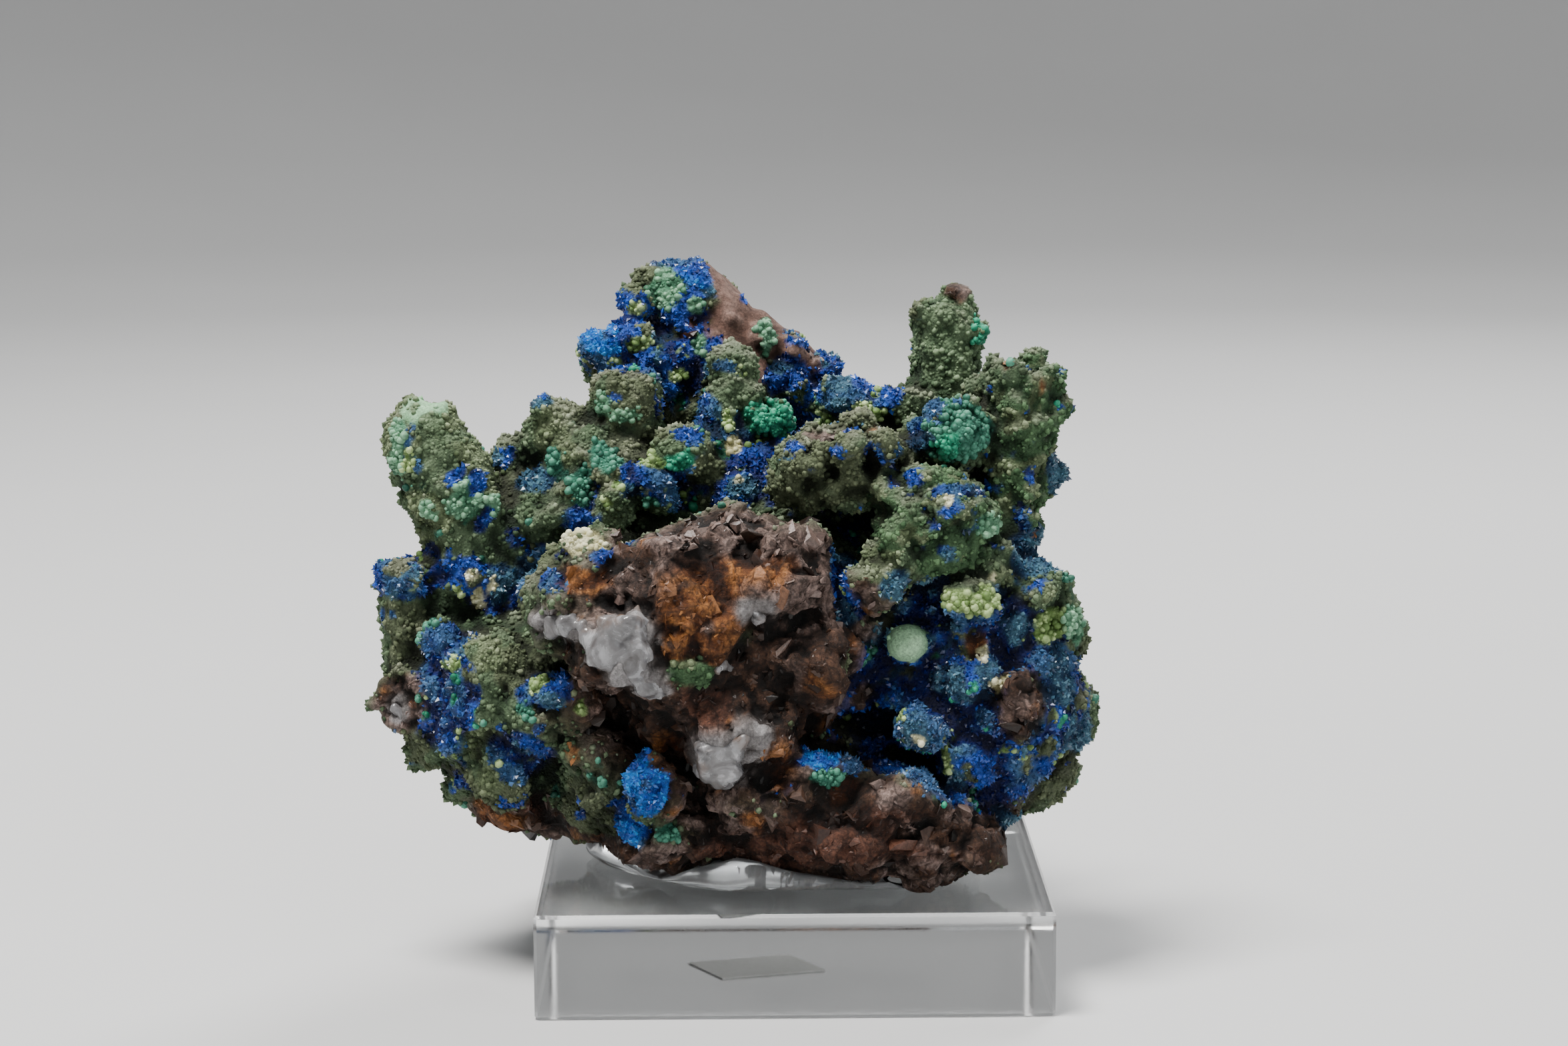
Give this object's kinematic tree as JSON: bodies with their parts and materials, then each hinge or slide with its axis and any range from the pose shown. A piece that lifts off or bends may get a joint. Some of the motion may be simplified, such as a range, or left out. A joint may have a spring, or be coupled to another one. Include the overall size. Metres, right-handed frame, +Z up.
{
  "type": "azurite specimen",
  "caption": "Azurite and malachite crystals on a lump of iron oxide and quartz, held by clear adhesive on a square clear display block.",
  "frame": {"origin": "under the middle of the whole object, on the surface that the block stands on", "axes": "+Z up, +X to the viewer's right, the viewer in front at -Y"},
  "size_m": [0.0918, 0.0644, 0.0882],
  "materials": {
    "specimen": "rough natural crystals and crusts",
    "adhesive": "clear, set in a pool",
    "acrylic": "clear, polished, lightly scratched",
    "label": "matt"
  },
  "bodies": {
    "root": {"specimen": "specimen", "adhesive": "adhesive", "acrylic_block": "acrylic", "label": "label"}
  },
  "joints": []
}
